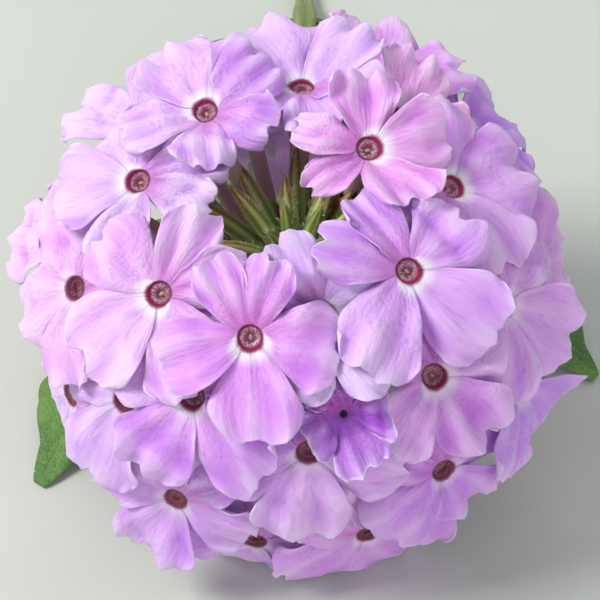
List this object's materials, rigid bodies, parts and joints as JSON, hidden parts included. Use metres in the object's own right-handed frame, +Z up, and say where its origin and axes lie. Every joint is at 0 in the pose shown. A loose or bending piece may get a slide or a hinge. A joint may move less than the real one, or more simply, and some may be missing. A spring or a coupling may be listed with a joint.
{
  "type": "verbena flowering shoot",
  "caption": "Picked shoot of garden verbena lying down: a round head of lilac-pink florets on a square stem with two pairs of toothed leaves.",
  "frame": {"origin": "centre of the bounding box on the surface that the shoot lies on", "axes": "+Z up; +Y along the lying stem, from the flower head to the cut end; +X to the right of the head seen from its front"},
  "size_m": [0.0702, 0.1378, 0.0495],
  "materials": {
    "petal_pink": "soft matt petal",
    "petal_lilac": "soft matt petal",
    "petal_violet": "soft matt petal",
    "calyx_green": "hairy matt green",
    "stem_green": "hairy matt green",
    "leaf_green": "matt leaf"
  },
  "bodies": {
    "root": {"corolla_01": "petal_pink", "corolla_02": "petal_lilac", "corolla_03": "petal_lilac", "corolla_04": "petal_pink", "corolla_05": "petal_lilac", "corolla_06": "petal_lilac", "corolla_07": "petal_pink", "corolla_08": "petal_lilac", "corolla_09": "petal_lilac", "corolla_10": "petal_pink", "corolla_11": "petal_lilac", "corolla_12": "petal_violet", "corolla_13": "petal_pink", "corolla_14": "petal_lilac", "corolla_15": "petal_lilac", "corolla_16": "petal_pink", "corolla_17": "petal_lilac", "corolla_18": "petal_lilac", "corolla_19": "petal_pink", "corolla_20": "petal_lilac", "corolla_21": "petal_lilac", "corolla_22": "petal_pink", "corolla_23": "petal_lilac", "corolla_24": "petal_lilac", "corolla_25": "petal_pink", "corolla_26": "petal_lilac", "corolla_27": "petal_lilac", "corolla_28": "petal_pink", "corolla_29": "petal_lilac", "corolla_30": "petal_lilac", "corolla_31": "petal_pink", "corolla_32": "petal_lilac", "corolla_33": "petal_lilac", "corolla_34": "petal_pink", "crown": "calyx_green", "stem": "stem_green", "leaf_front_left": "leaf_green", "leaf_front_right": "leaf_green", "leaf_back_left": "leaf_green", "leaf_back_right": "leaf_green"}
  },
  "joints": []
}
